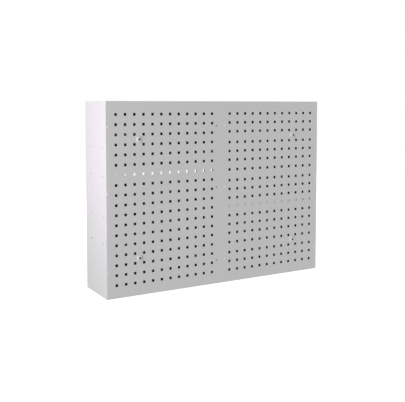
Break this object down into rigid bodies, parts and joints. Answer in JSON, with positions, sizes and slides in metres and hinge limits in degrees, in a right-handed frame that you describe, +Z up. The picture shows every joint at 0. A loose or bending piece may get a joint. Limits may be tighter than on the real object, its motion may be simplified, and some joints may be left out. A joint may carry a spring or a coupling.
{
  "type": "pegboard tool wall",
  "caption": "Wall-hung pegboard tool wall: a deep folded sheet-steel case with a flat front of square peg holes for tool hooks.",
  "frame": {"origin": "centre of the rectangle of four wall-bolt bores, on the wall plane, which is the outside of the back sheet", "axes": "+X to the right of someone who faces the pegboard, +Y into the wall, +Z up"},
  "size_m": [1.004, 0.2154, 0.746],
  "materials": {
    "grey_paint": "light grey powder coat, fine orange peel, with dark primer on the inside",
    "inner_paint": "dark primer inside the case",
    "rail_paint": "light grey powder coat",
    "bright_rail": "bright plated strip",
    "sleeve_paint": "light grey satin coat",
    "zinc": "bright zinc plate",
    "rivet_paint": "light grey gloss coat",
    "rivet_steel": "bare blind rivet"
  },
  "bodies": {
    "root": {"front_panel": "grey_paint", "left_side_panel": "grey_paint", "right_side_panel": "grey_paint", "top_panel": "grey_paint", "bottom_panel": "grey_paint", "back_panel": "grey_paint", "centre_post": "inner_paint", "left_side_channel": "inner_paint", "right_side_channel": "inner_paint", "right_rail": "rail_paint", "left_rail_outer_cleat": "inner_paint", "left_rail_inner_cleat": "inner_paint", "right_rail_inner_cleat": "inner_paint", "right_rail_outer_cleat": "inner_paint", "left_rail": "bright_rail", "upper_left_wall_sleeve": "sleeve_paint", "upper_left_wall_plate": "zinc", "upper_right_wall_sleeve": "sleeve_paint", "upper_right_wall_plate": "zinc", "lower_left_wall_sleeve": "sleeve_paint", "lower_left_wall_plate": "zinc", "lower_right_wall_sleeve": "sleeve_paint", "lower_right_wall_plate": "zinc", "sleeve_lock_rings": "zinc", "top_rivets": "grey_paint", "bottom_rivets": "grey_paint", "back_rivets": "grey_paint", "left_edge_rivets": "rivet_paint", "right_edge_rivets": "rivet_paint", "post_left_rivets": "rivet_paint", "post_right_rivets": "rivet_paint", "left_side_rivets": "rivet_steel", "right_side_rivets": "rivet_steel", "left_rail_rivets": "rivet_steel", "right_rail_rivets": "rivet_steel"}
  },
  "joints": []
}
